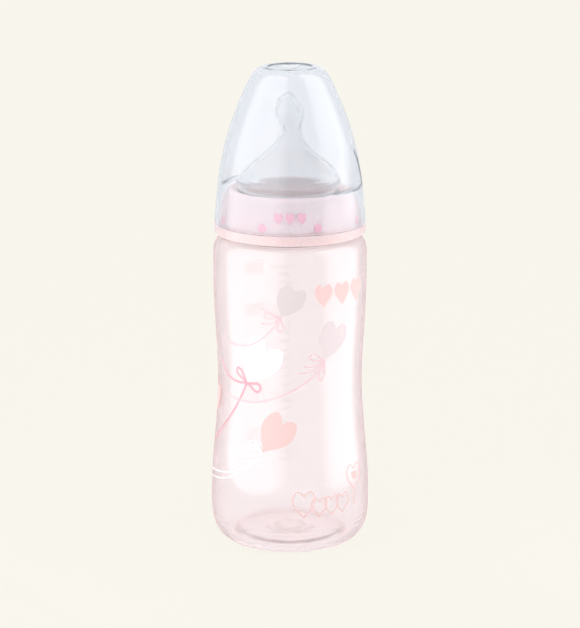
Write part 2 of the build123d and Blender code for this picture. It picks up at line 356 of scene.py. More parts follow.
def add_ribbon(mesh: bmesh.types.BMesh, path: Sequence[Point], width: float, fade: float = 1.0) -> None:
    """Adds a flat ribbon along a path of (x, y) points.

    Args:
        mesh: What the ribbon is added to.
        path: The middle of the ribbon.
        width: Its width at the start.
        fade: Its width at the end, as a share of the start.
    """
    points = [Vector((x, y, 0)) for x, y in path]
    across = []
    for index, point in enumerate(points):
        along = points[min(index + 1, len(points) - 1)] - points[max(index - 1, 0)]
        share = 1 + (fade - 1) * index / (len(points) - 1)
        across.append(Vector((-along.y, along.x, 0)).normalized() * width * share / 2)
    first = [mesh.verts.new(points[0] + across[0]), mesh.verts.new(points[0] - across[0])]
    edge = mesh.edges.new(first)
    for point, side in zip(points[1:], across[1:]):
        grown = bmesh.ops.extrude_edge_only(mesh, edges=[edge])["geom"]
        edge = next(item for item in grown if isinstance(item, bmesh.types.BMEdge) and item is not edge
                    and all(vert in grown for vert in item.verts))
        ends = [vert for vert in edge.verts]
        if (ends[0].co - first[0].co).length > (ends[1].co - first[0].co).length:
            ends.reverse()
        ends[0].co, ends[1].co = point + side, point - side
        first = ends


def thicken(mesh: bmesh.types.BMesh) -> set[bmesh.types.BMVert]:
    """Gives flat faces a second side in the same place, and returns the points of that side."""
    grown = bmesh.ops.extrude_face_region(mesh, geom=mesh.faces[:])["geom"]
    return {item for item in grown if isinstance(item, bmesh.types.BMVert)}


def cut_in_strips(mesh: bmesh.types.BMesh, width: float, height: float) -> None:
    """Cuts flat faces in a grid, so that they can follow a curved wall.

    Args:
        mesh: A mesh in the XY plane.
        width: Distance of the upright cuts.
        height: Distance of the level cuts.
    """
    for axis, step in ((0, width), (1, height)):
        places = [vert.co[axis] for vert in mesh.verts]
        normal = Vector((0, 0, 0))
        normal[axis] = 1
        for index in range(math.floor(min(places) / step) + 1, math.ceil(max(places) / step)):
            whole = mesh.verts[:] + mesh.edges[:] + mesh.faces[:]
            bmesh.ops.bisect_plane(mesh, geom=whole, plane_co=normal * index * step, plane_no=normal)
    bmesh.ops.triangulate(mesh, faces=[face for face in mesh.faces if len(face.verts) > 4])


# --------------------------------------------------------------------------------- materials


def linear(hex_colour: str) -> tuple[float, float, float, float]:
    """The linear RGBA of an sRGB colour such as "F8D2D8"."""
    channels = [int(hex_colour[index:index + 2], 16) / 255 for index in (0, 2, 4)]
    red, green, blue = (c / 12.92 if c <= 0.04045 else ((c + 0.055) / 1.055) ** 2.4 for c in channels)
    return red, green, blue, 1.0


def add_node(
    tree: bpy.types.NodeTree,
    kind: str,
    settings: dict[str, object] | None = None,
    inputs: dict[str, object] | None = None,
) -> bpy.types.Node:
    """Adds a node to a tree.

    Args:
        tree: The node tree.
        kind: The node's type, such as "ShaderNodeMix".
        settings: Attributes of the node.
        inputs: For each input, by name or number, a value or the socket that feeds it.

    Returns:
        The node.
    """
    node = tree.nodes.new(kind)
    for name, value in (settings or {}).items():
        setattr(node, name, value)
    for name, value in (inputs or {}).items():
        if isinstance(value, bpy.types.NodeSocket):
            tree.links.new(value, node.inputs[name])
        else:
            node.inputs[name].default_value = value
    return node


def new_tree(name: str) -> tuple[bpy.types.Material, bpy.types.NodeTree, bpy.types.Node]:
    """An empty material: the material, its node tree and its output node."""
    material = bpy.data.materials.new(name)
    material.use_nodes = True
    tree = material.node_tree
    tree.nodes.clear()
    return material, tree, add_node(tree, "ShaderNodeOutputMaterial")


@dataclass(frozen=True)
class MouldedPolymer:
    """A moulded plastic or rubber that light goes into.

    Attributes:
        name: The material's name.
        colour: sRGB hex colour of its surface.
        clear: Share of light that goes straight through, against what its haze scatters.
        ior: Index of refraction.
        gloss: Roughness, from and to, between its smoothest and roughest spots.
        grain: Size in millimetres of the fine skin that the mould leaves.
        grain_depth: Depth of that skin in millimetres.
        flow: Size in millimetres of the slow waves in its wall.
        flow_depth: Depth of those waves in millimetres.
        tint: sRGB hex colour that thick places take on.
        tint_depth: Millimetres in which light fades to that tint's third power of e.
        scatter: Share of soft scattering under the surface.
        scatter_reach: Millimetres that scattered light wanders.
        bloom: sRGB hex colour and strength of the soft bloom on edges turned away.
        bloom_spread: Roughness of that bloom.
        shine: Strength of its reflections, 0.5 being what its index of refraction gives.
    """

    name: str
    colour: str
    clear: float
    ior: float
    gloss: tuple[float, float]
    grain: float
    grain_depth: float
    flow: float
    flow_depth: float
    tint: str = ""
    tint_depth: float = 0.0
    scatter: float = 0.0
    scatter_reach: float = 6.0
    bloom: tuple[str, float] = ("FFFFFF", 0.0)
    bloom_spread: float = 0.28
    shine: float = 0.5

    def material(self) -> bpy.types.Material:
        """The material, with its skin, flow waves, haze and tint."""
        material, tree, output = new_tree(self.name)
        place = add_node(tree, "ShaderNodeTexCoord").outputs["Object"]
        grain = add_node(tree, "ShaderNodeTexNoise", inputs={
            "Vector": place, "Scale": 1 / (self.grain * MM), "Detail": 3.0, "Roughness": 0.6,
        })
        flow = add_node(tree, "ShaderNodeTexNoise", inputs={
            "Vector": place, "Scale": 1 / (self.flow * MM), "Detail": 1.0, "Roughness": 0.4,
        })
        gloss = add_node(tree, "ShaderNodeMapRange", inputs={
            "Value": grain.outputs["Fac"], "From Min": 0.3, "From Max": 0.7,
            "To Min": self.gloss[0], "To Max": self.gloss[1],
        })
        waves = add_node(tree, "ShaderNodeBump", inputs={
            "Height": flow.outputs["Fac"], "Strength": 1.0, "Distance": self.flow_depth * MM,
        })
        skin = add_node(tree, "ShaderNodeBump", inputs={
            "Height": grain.outputs["Fac"], "Strength": 1.0, "Distance": self.grain_depth * MM,
            "Normal": waves.outputs["Normal"],
        })
        shader = add_node(tree, "ShaderNodeBsdfPrincipled", {"subsurface_method": "RANDOM_WALK"}, {
            "Base Color": linear(self.colour),
            "Roughness": gloss.outputs["Result"],
            "IOR": self.ior,
            "Specular IOR Level": self.shine,
            "Transmission Weight": self.clear,
            "Subsurface Weight": self.scatter,
            "Subsurface Scale": self.scatter_reach * MM,
            "Subsurface Radius": (1.0, 0.8, 0.75),
            "Sheen Weight": self.bloom[1],
            "Sheen Roughness": self.bloom_spread,
            "Sheen Tint": linear(self.bloom[0]),
            "Normal": skin.outputs["Normal"],
        })
        tree.links.new(shader.outputs["BSDF"], output.inputs["Surface"])
        if self.tint_depth:
            fade = add_node(tree, "ShaderNodeVolumeAbsorption", inputs={
                "Color": linear(self.tint), "Density": 1 / (self.tint_depth * MM),
            })
            tree.links.new(fade.outputs["Volume"], output.inputs["Volume"])
        return material


@dataclass(frozen=True)
class ScreenInk:
    """Screen-printed ink: a thin, even film with the faint weave of the printing screen.

    Attributes:
        name: The material's name.
        colour: sRGB hex colour of the full film.
        thin: sRGB hex colour where the film is thinnest.
        clear: Share of light that goes through the film.
        weave: Size in millimetres of the screen's mesh. Real ones have about 5 threads a
            millimetre, and this one is coarser so that it shows.
        clouds: Size in millimetres of the soft clouds in the film.
    """

    name: str
    colour: str
    thin: str
    clear: float = 0.0
    weave: float = 0.6
    clouds: float = 5.0

    def material(self) -> bpy.types.Material:
        """The material, with the weave of the screen and soft clouds in the film."""
        material, tree, output = new_tree(self.name)
        place = add_node(tree, "ShaderNodeTexCoord").outputs["Object"]
        weave = add_node(tree, "ShaderNodeTexVoronoi", {"feature": "F1"}, {
            "Vector": place, "Scale": 1 / (self.weave * MM), "Randomness": 0.35,
        })
        clouds = add_node(tree, "ShaderNodeTexNoise", inputs={
            "Vector": place, "Scale": 1 / (self.clouds * MM), "Detail": 2.0,
        })
        film = add_node(tree, "ShaderNodeMath", {"operation": "MULTIPLY"}, {
            0: weave.outputs["Distance"], 1: clouds.outputs["Fac"],
        })
        colour = add_node(tree, "ShaderNodeMix", {"data_type": "RGBA"}, {
            0: film.outputs["Value"], 6: linear(self.colour), 7: linear(self.thin),
        })
        relief = add_node(tree, "ShaderNodeBump", inputs={
            "Height": weave.outputs["Distance"], "Strength": 0.5, "Distance": 0.01 * MM,
        })
        shader = add_node(tree, "ShaderNodeBsdfPrincipled", inputs={
            "Base Color": colour.outputs[2], "Roughness": 0.5, "IOR": 1.5,
            "Specular IOR Level": 0.3, "Transmission Weight": self.clear, "Normal": relief.outputs["Normal"],
        })
        tree.links.new(shader.outputs["BSDF"], output.inputs["Surface"])
        return material


# Blow-moulded polypropylene with a little pink masterbatch: clear enough to show the base through
# the wall, and a deeper rose wherever the wall is seen edge-on. Its bloom makes that rose stronger.
PINK_BOTTLE_PP = MouldedPolymer(
    "pink_blow_moulded_polypropylene", colour="FFFCFC", clear=0.91, ior=1.49, gloss=(0.12, 0.15),
    grain=0.9, grain_depth=0.002, flow=16.0, flow_depth=0.03, tint="F4B8B8", tint_depth=24.0,
    bloom=("E6A2A2", 0.85),
)
# Injection-moulded polypropylene with titanium white: milky, satin and evenly pale pink.
MILKY_RING_PP = MouldedPolymer(
    "milky_pink_injection_moulded_polypropylene", colour="FBD7D7", clear=0.06, ior=1.49,
    gloss=(0.22, 0.30), grain=0.7, grain_depth=0.003, flow=12.0, flow_depth=0.02, scatter=0.85,
)
# A deeper pink polypropylene, for the ring's raised hearts and its snap nubs.
MARK_PP = MouldedPolymer(
    "raised_pink_polypropylene", colour="F0AFC0", clear=0.05, ior=1.49, gloss=(0.25, 0.33),
    grain=0.7, grain_depth=0.003, flow=12.0, flow_depth=0.02,
)
# Clarified polypropylene, injection moulded in a polished tool: near glass, faintly blue and
# grey where the wall is seen edge-on. Its shine is set below the real one.
CLEAR_CAP_PP = MouldedPolymer(
    "clarified_injection_moulded_polypropylene", colour="FCFDFF", clear=0.97, ior=1.49,
    gloss=(0.02, 0.05), grain=1.2, grain_depth=0.0004, flow=18.0, flow_depth=0.012,
    tint="7C92A8", tint_depth=22.0, bloom=("9CABB8", 0.8), shine=0.0,
)
# The same polypropylene, frosted by the tool, in the cap's raised heart.
FROSTED_CAP_PP = MouldedPolymer(
    "frosted_injection_moulded_polypropylene", colour="F6F9FC", clear=0.1, ior=1.49,
    gloss=(0.35, 0.45), grain=0.5, grain_depth=0.003, flow=8.0, flow_depth=0.01,
)
# Liquid silicone rubber, cured in a polished tool: clear, with blue-grey edges. Its shine is set
# below the real one.
CLEAR_SILICONE = MouldedPolymer(
    "clear_liquid_silicone_rubber", colour="FEFEFE", clear=0.86, ior=1.41, gloss=(0.02, 0.05),
    grain=0.8, grain_depth=0.0004, flow=9.0, flow_depth=0.01, tint="5F7F98", tint_depth=30.0, shine=0.3,
)
ROSE_INK = ScreenInk("grey_rose_screen_ink", colour="E6D8D8", thin="EDE2E3")
LILAC_INK = ScreenInk("lilac_rose_screen_ink", colour="EFDFE1", thin="F5E8EA")
WHITE_INK = ScreenInk("white_screen_ink", colour="FFFFFF", thin="FCFAFA")
THIN_WHITE_INK = ScreenInk("thin_white_screen_ink", colour="FFFFFF", thin="FFFFFF", clear=0.45)
CORAL_INK = ScreenInk("coral_screen_ink", colour="F9D2CE", thin="FBDCD9")
PALE_PINK_INK = ScreenInk("pale_pink_screen_ink", colour="F8D6DB", thin="FAE0E4")
PINK_INK = ScreenInk("pink_screen_ink", colour="F4AEBB", thin="F7BFC9")


# ------------------------------------------------------------------------------------ bottle


@dataclass
class Bottle:
    """Blow-moulded bottle with a recessed base, a waist to hold it by and a threaded neck.

    Attributes:
        belly: Largest radius of the outside, and its height.
        waist: Smallest radius of the grip, and its height.
        chest: Radius below the shoulder, and its height.
        shoulder_top: Height of the shoulder.
        shoulder_round: Radius of the shoulder's edge.
        wall: Thickness of the side wall.
        foot: Inner and outer radius of the ring that it stands on.
        push_up: How far the underside is recessed.
        neck: Outer radius, bore radius and top of the neck.
        thread: Depth, lower end's height and turns of the neck's thread.
    """

    belly: tuple[float, float] = (33.1, 20.0)
    waist: tuple[float, float] = (30.1, 68.0)
    chest: tuple[float, float] = (31.8, 113.0)
    shoulder_top: float = 131.5
    shoulder_round: float = 7.5
    wall: float = 1.5
    foot: tuple[float, float] = (23.3, 25.3)
    push_up: float = 1.8
    neck: tuple[float, float, float] = (25.2, 23.4, 145.4)
    thread: tuple[float, float, float] = (1.3, 133.7, 4 / 3)

    def side(self, inset: float = 0.0) -> list[np.ndarray]:
        """The waisted side, from the belly up to the chest, `inset` inside the outer face."""
        places = [self.belly, self.waist, self.chest]
        middles = [((a[0] + b[0]) / 2, (a[1] + b[1]) / 2) for a, b in zip(places, places[1:])]
        knots = [places[0], middles[0], places[1], middles[1], places[2]]
        return smooth_curve([(r - inset, z) for r, z in knots], start=(0, 1), end=(0, 1))

    def radius(self, height: float) -> float:
        """Radius of the outer face at a height between the belly and the shoulder."""
        side = self.side()
        return float(np.interp(height, [z for _, z in side], [r for r, _ in side]))

    def outer(self) -> HalfSection:
        """Outer face, from the middle of the underside up to the lip."""
        foot_in, foot_out = self.foot
        neck_r, _, lip = self.neck
        section = HalfSection().to(0, self.push_up).to(foot_in - 2, self.push_up)
        section.curve([(foot_in - 2, self.push_up), (foot_in, 0)], start=(1, 0), end=(1, -0.6))
        section.to(foot_in, 0).to(foot_out, 0)
        section.curve(
            [(foot_out, 0), (30.0, 3.0), (32.3, 7.8), self.belly], start=(1, 0.2), end=(0, 1)
        )
        section.corners += [(point, 0.0) for point in self.side()]
        section.to(self.chest[0], self.shoulder_top, self.shoulder_round)
        section.to(neck_r, self.shoulder_top, 0.3).to(neck_r, lip, 0.5)
        return section.to(neck_r - 0.9, lip)

    def inner(self) -> HalfSection:
        """Inner face, from the middle of the floor up to the lip."""
        floor = self.push_up + self.wall
        trough = (self.foot[0] + 0.9, self.wall + 0.1)
        neck_r, bore, lip = self.neck
        section = HalfSection()
        # Two shallow rings that the mould leaves round the middle of the floor.
        for radius, height in ((0, 0.35), (5.0, 0.35), (5.4, 0.0), (6.0, 0.0), (6.4, 0.35), (9.6, 0.35)):
            section.to(radius, floor + height)
        section.to(10.4, floor).to(self.foot[0] - 2.6, floor)
        section.curve([(self.foot[0] - 2.6, floor), trough], start=(1, 0), end=(1, 0))
        belly = (self.belly[0] - self.wall, self.belly[1])
        section.curve([trough, (28.9, 4.2), (30.9, 8.4), belly], start=(1, 0), end=(0, 1))
        section.corners += [(point, 0.0) for point in self.side(self.wall)]
        corner = (self.chest[0] - self.wall, self.shoulder_top - self.wall)
        section.to(*corner, self.shoulder_round - self.wall)
        section.to(bore, corner[1], 0.8).to(bore, lip, 0.5)
        return section.to(neck_r - 0.9, lip)

    def fill_height(self, volume_ml: float) -> float:
        """Height that a volume of liquid reaches in the bottle."""
        section = [(r, z) for r, z in self.inner().points() if z <= self.chest[1]]
        filled = 0.0
        for (low_r, low_z), (high_r, high_z) in zip(section, section[1:]):
            layer = math.pi / 3 * (low_r**2 + low_r * high_r + high_r**2) * (high_z - low_z) / 1000
            if low_r > 1 and filled + layer >= volume_ml:
                return low_z + (high_z - low_z) * (volume_ml - filled) / layer
            filled += layer
        return self.chest[1]

    def build(self) -> bpy.types.Object:
        """The bottle, with its wall, base and neck thread."""
        mesh = bmesh.new()
        turn(mesh, self.outer().points() + self.inner().points()[-2::-1])
        root = self.neck[0]
        depth, start, turns = self.thread
        Thread(root, root + depth, start, turns).add_to(mesh)
        return finished(mesh, "bottle_wall", Body.BOTTLE, PINK_BOTTLE_PP.material(), ["bottle"])


# ------------------------------------------------------------------------------------- print


@dataclass
class Decal:
    """Ink on the bottle, drawn flat and then laid on the wall.

    Attributes:
        bottle: The bottle that carries it.
        name: The piece's name.
        lift: How far its face stands off the wall.
        sunk: How far it reaches into the wall.
        strips: Width and height of the strips that let it follow the wall.
        mesh: The drawing.
    """

    bottle: Bottle
    name: str
    lift: float = 0.06
    sunk: float = 0.01
    strips: tuple[float, float] = (1.0, 3.0)
    mesh: bmesh.types.BMesh = field(default_factory=bmesh.new)

    def flat(self, azimuth: float, height: float) -> Vector:
        """Place on the flat drawing: along the waist's circumference, and up."""
        return Vector((math.radians(azimuth) * self.bottle.waist[0], height, 0))

    def heart(self, azimuth: float, height: float, size: float, tilt: float) -> None:
        """Draws a full heart, by its tip's place, its size and its tilt to the right."""
        turning = Matrix.Rotation(-math.radians(tilt), 4, "Z")
        add_flat(self.mesh, heart_outline(size), Matrix.Translation(self.flat(azimuth, height)) @ turning)

    def open_heart(self, azimuth: float, height: float, size: float, width: float = 0.55) -> None:
        """Draws a heart's outline, by its tip's place, its size and the line's width."""
        tip = self.flat(azimuth, height)
        outline = heart_outline(size) + [(0, 0)]
        add_ribbon(self.mesh, [(tip.x + x, tip.y + y) for x, y in outline], width)

    def string(self, knots: Sequence[Point], width: float = 0.75, fade: float = 1.0) -> None:
        """Draws a thin line through (azimuth, height) points."""
        self.path([self.flat(*knot) for knot in knots], width, fade)

    def path(self, knots: Sequence[Vector], width: float, fade: float = 1.0) -> None:
        """Draws a thin line through places on the flat drawing."""
        add_ribbon(self.mesh, [(x, y) for x, y in smooth_curve([(k.x, k.y) for k in knots])], width, fade)

    def loop(self, knot: Point, tip: Point, half_width: float, width: float = 0.7) -> None:
        """Draws a bow's open loop.

        Args:
            knot: Azimuth and height where it starts and ends.
            tip: Azimuth and height of its far end.
            half_width: Half of its greatest width.
            width: The line's width.
        """
        start, far = self.flat(*knot), self.flat(*tip)
        reach = far - start
        side = Vector((-reach.y, reach.x, 0)).normalized() * half_width
        self.path([
            start, start + 0.45 * reach + 0.62 * side, start + 0.8 * reach + side, far,
            start + 0.8 * reach - side, start + 0.45 * reach - 0.62 * side, start,
        ], width)

    def lay(self, ink: ScreenInk, nodes: Sequence[str] = ()) -> bpy.types.Object:
        """Lays the drawing on the wall as a thin film.

        Args:
            ink: The ink that it is printed with.
            nodes: The CAD nodes that it stands for.

        Returns:
            The print.
        """
        cut_in_strips(self.mesh, *self.strips)
        bmesh.ops.recalc_face_normals(self.mesh, faces=self.mesh.faces)
        tops = thicken(self.mesh)
        for vert in self.mesh.verts:
            azimuth = math.degrees(vert.co.x / self.bottle.waist[0])
            lift = self.lift if vert in tops else -self.sunk
            vert.co = polar(azimuth, self.bottle.radius(vert.co.y) + lift, vert.co.y)
        return finished(self.mesh, self.name, Body.BOTTLE, ink.material(), nodes)


@dataclass
class BalloonPrint:
    """Heart balloons on strings, printed round the bottle's front and left.

    Attributes:
        bottle: The bottle that carries it.
    """

    bottle: Bottle

    def hearts(self) -> None:
        """Prints the full hearts, each ink in its own piece."""
        rose = Decal(self.bottle, "rose_heart_print")
        rose.heart(-6.9, 102.3, 14.0, 27)
        rose.lay(ROSE_INK, ["print_rose_hearts"])
        lilac = Decal(self.bottle, "lilac_heart_print")
        lilac.heart(27.7, 83.3, 16.3, 21)
        lilac.lay(LILAC_INK)
        white = Decal(self.bottle, "white_heart_print", lift=0.05)
        white.heart(-35.6, 73.2, 21.0, 32)
        white.lay(WHITE_INK, ["print_white_heart"])
        coral = Decal(self.bottle, "coral_heart_print")
        coral.heart(-21.3, 44.7, 18.0, 33)
        coral.heart(-97.0, 52.0, 18.0, 24)
        coral.lay(CORAL_INK, ["print_coral_hearts"])

    def strings(self) -> None:
        """Prints the strings and their bows."""
        pale = Decal(self.bottle, "pale_pink_string_print", lift=0.09)
        knot = (-6.9, 102.2)
        pale.loop(knot, (-19.3, 103.2), 1.2)
        pale.loop(knot, (-7.8, 96.4), 1.1)
        pale.string([knot, (-13.0, 103.4), (-21.7, 106.0)], fade=0.6)
        pale.string([knot, (-13.5, 99.8), (-22.0, 99.6)], fade=0.6)
        pale.string([knot, (-11.3, 98.9), (-19.4, 93.9), (-35.6, 89.0), (-58.7, 89.2)])
        knot = (27.7, 83.2)
        pale.loop(knot, (15.4, 85.6), 1.3)
        pale.loop(knot, (24.0, 75.0), 1.1)
        pale.string([knot, (19.0, 81.2), (10.4, 81.4)], fade=0.6)
        pale.string([knot, (18.0, 79.6), (5.1, 78.4)], fade=0.6)
        pale.string([
            knot, (20.0, 77.8), (12.3, 74.6), (-0.3, 70.6), (-16.5, 67.0), (-34.6, 65.1), (-57.9, 66.0),
        ])
        pale.lay(PALE_PINK_INK)
        strong = Decal(self.bottle, "pink_string_print", lift=0.09)
        knot = (-35.6, 73.1)
        strong.loop(knot, (-45.4, 78.6), 1.3, width=0.85)
        strong.loop(knot, (-23.6, 71.2), 1.7, width=0.95)
        strong.string([knot, (-47.0, 72.8), (-58.0, 74.6), (-68.5, 80.0)], width=0.95, fade=0.7)
        strong.string([knot, (-44.0, 64.7), (-56.3, 55.6), (-82.0, 43.2)], width=0.95, fade=0.7)
        strong.lay(PINK_INK, ["print_pink_strings"])
        white = Decal(self.bottle, "white_string_print", lift=0.09)
        knot = (-21.3, 44.6)
        white.loop(knot, (-31.0, 49.0), 1.2, width=0.5)
        white.string([knot, (-32.0, 42.4), (-47.4, 41.1)], width=0.5, fade=0.7)
        white.string([knot, (-32.4, 38.6), (-58.5, 32.5), (-82.9, 30.2)], width=0.55)
        white.string([(-24.0, 42.0), (-33.0, 36.8), (-54.9, 30.4), (-81.6, 27.4)], width=0.55)
        white.lay(WHITE_INK, ["print_white_strings"])

    def trims(self) -> None:
        """Prints a row of small hearts high on the right, and line hearts low on the right."""
        row = Decal(self.bottle, "small_heart_row_print")
        for azimuth in (25.5, 42.0, 58.5):
            row.heart(azimuth, 106.0, 9.5, 0)
        row.lay(CORAL_INK)
        lines = Decal(self.bottle, "line_heart_print")
        for azimuth, size in ((10.0, 11.0), (21.5, 8.0), (31.5, 8.0), (41.0, 8.0)):
            lines.open_heart(azimuth, 17.5, size)
        lines.open_heart(54.5, 25.5, 11.0)
        lines.heart(54.5, 29.5, 4.2, 0)
        lines.string([(54.5, 25.5), (53.0, 22.5), (55.0, 19.0)], width=0.55)
        lines.lay(CORAL_INK)

    def build(self) -> None:
        """Prints all of it."""
        self.hearts()
        self.strings()
        self.trims()


@dataclass
class VolumeScale:
    """Volume scale on the back, with a mark every 10 ml and a number every 50 ml.

    Attributes:
        bottle: The bottle that carries it.
        marks_ml: First and last mark, and the step between marks.
        long_ml: Step between long marks, which have numbers.
        lengths: Length of a short and of a long mark.
        line: Width of the marks.
        number_gap: Distance from a mark to its number.
        number_height: Height of the numbers.
    """

    bottle: Bottle
    marks_ml: tuple[int, int, int] = (60, 300, 10)
    long_ml: int = 50
    lengths: tuple[float, float] = (5.0, 9.0)
    line: float = 0.6
    number_gap: float = 1.6
    number_height: float = 4.6

    def number(self, value: int) -> bpy.types.Mesh:
        """Flat mesh of a number that stands on (0, 0)."""
        curve = bpy.data.curves.new(f"number_{value}", "FONT")
        curve.body = str(value)
        curve.size = self.number_height / 0.7
        writing = bpy.data.objects.new(curve.name, curve)
        bpy.context.scene.collection.objects.link(writing)
        bpy.context.view_layer.update()
        mesh = bpy.data.meshes.new_from_object(writing)
        bpy.data.objects.remove(writing)
        bpy.data.curves.remove(curve)
        return mesh

    def build(self) -> bpy.types.Object:
        """The scale, as one print."""
        decal = Decal(self.bottle, "volume_scale_print")
        first, last, step = self.marks_ml
        for volume in range(first, last + 1, step):
            height = self.bottle.fill_height(volume)
            is_long = volume % self.long_ml == 0
            start = decal.flat(180, height).x
            end = start + self.lengths[is_long]
            add_ribbon(decal.mesh, [(start, height), (end, height)], self.line)
            if is_long:
                number = self.number(volume)
                place = Vector((end + self.number_gap, height - self.number_height / 2, 0))
                number.transform(Matrix.Translation(place))
                decal.mesh.from_mesh(number)
                bpy.data.meshes.remove(number)
        return decal.lay(THIN_WHITE_INK, ["print_volume_scale"])


# --------------------------------------------------------------------------------- screw ring


@dataclass
class ScrewRing:
    """Screw ring: a band under the cap, a domed skirt with snap nubs, and the teat's mouth.

    Attributes:
        band: Radius, underside and top of the band.
        bore: Radius inside, between the threads.
        crest: Radius and height of the rim at the top.
        mouth: Radius and height of the hole for the teat.
        seal: Radius and height of the face that presses on the teat's flange.
        skirt: (radius, height) points of the skirt, from the band up to the crest.
        thread: Depth, lower end's height, turns and lower end's azimuth of the thread inside.
        nubs: Number of the snap nubs, and their middles' height and their reach.
        nub_dome: Radius of a nub, and the depth of its dome.
        hearts: Size, spacing and height of the raised hearts.
        raised: How far the hearts stand off the skirt, and how far they reach into it.
    """

    band: tuple[float, float, float] = (31.3, 131.5, 135.7)
    bore: float = 27.0
    crest: tuple[float, float] = (24.4, 150.1)
    mouth: tuple[float, float] = (21.5, 149.2)
    seal: tuple[float, float] = (25.6, 147.6)
    skirt: tuple[Point, ...] = ((29.1, 136.3), (28.9, 140.0), (27.9, 144.7), (26.7, 147.4), (24.4, 150.1))
    thread: tuple[float, float, float, float] = (1.4, 133.2, 1.25, 90.0)
    nubs: tuple[int, float, float] = (8, 138.2, 29.35)
    nub_dome: tuple[float, float] = (2.3, 0.9)
    hearts: tuple[float, float, float] = (4.6, 4.8, 140.2)
    raised: tuple[float, float] = (0.25, 0.2)

    def skirt_curve(self) -> list[np.ndarray]:
        """The skirt's outer face, from the band up."""
        return smooth_curve(self.skirt, start=(0, 1), end=(-1, 0))

    def section(self) -> HalfSection:
        """The ring's section, from the bore's lower edge round the outside and back."""
        band_r, low, high = self.band
        section = HalfSection().to(self.bore, low).to(band_r, low, 0.9).to(band_r, high, 0.5)
        section.to(self.skirt[0][0] + 0.2, high, 0.15)
        section.corners += [(point, 0.0) for point in self.skirt_curve()]
        section.to(self.crest[0] - 0.6, self.crest[1], 0.25)
        section.to(self.mouth[0] + 0.3, self.mouth[1], 0.2)
        section.to(self.mouth[0], self.mouth[1] - 0.5, 0.2)
        section.to(self.mouth[0], self.seal[1]).to(*self.seal).to(self.seal[0], self.seal[1] - 2.4)
        return section.to(self.bore, self.seal[1] - 4.2)

    def add_nub(self, mesh: bmesh.types.BMesh, azimuth: float) -> None:
        """Adds one snap nub, a low round dome at the foot of the skirt."""
        _, height, reach = self.nubs
        radius, depth = self.nub_dome
        middle = Matrix.Translation((0, depth - reach, height))
        stretch = Matrix.Diagonal((radius, depth, radius, 1))
        bmesh.ops.create_uvsphere(
            mesh, u_segments=32, v_segments=20, radius=1.0,
            matrix=Matrix.Rotation(math.radians(azimuth), 4, "Z") @ middle @ stretch,
        )

    def build_nubs(self) -> bpy.types.Object:
        """The snap nubs, evenly round the ring."""
        mesh = bmesh.new()
        count = self.nubs[0]
        for index in range(count):
            self.add_nub(mesh, (index + 0.5) * 360 / count)
        return finished(mesh, "ring_nubs", Body.RING, MARK_PP.material())

    def build_marks(self) -> bpy.types.Object:
        """Three small hearts, raised from the front of the skirt."""
        mesh = bmesh.new()
        skirt = self.skirt_curve()
        size, spacing, height = self.hearts
        for place in (-spacing, 0.0, spacing):
            add_flat(mesh, heart_outline(size, per_span=5), Matrix.Translation((place, height, 0)))
        cut_in_strips(mesh, 0.8, 0.8)
        tops = thicken(mesh)
        out, sunk = self.raised
        for vert in mesh.verts:
            radius = float(np.interp(vert.co.y, [z for _, z in skirt], [r for r, _ in skirt]))
            azimuth = math.degrees(vert.co.x / self.skirt[1][0])
            vert.co = polar(azimuth, radius + (out if vert in tops else -sunk), vert.co.y)
        return finished(mesh, "ring_hearts", Body.RING, MARK_PP.material())

    def build(self) -> bpy.types.Object:
        """The ring, with its thread and nubs, and its raised hearts."""
        mesh = bmesh.new()
        turn(mesh, self.section().points(), closed=True)
        depth, start, turns, azimuth = self.thread
        Thread(self.bore, self.bore - depth, start, turns, azimuth).add_to(mesh)
        self.build_nubs()
        self.build_marks()
        return finished(mesh, "ring_shell", Body.RING, MILKY_RING_PP.material(), ["screw_ring"])


# --------------------------------------------------------------------------------------- teat


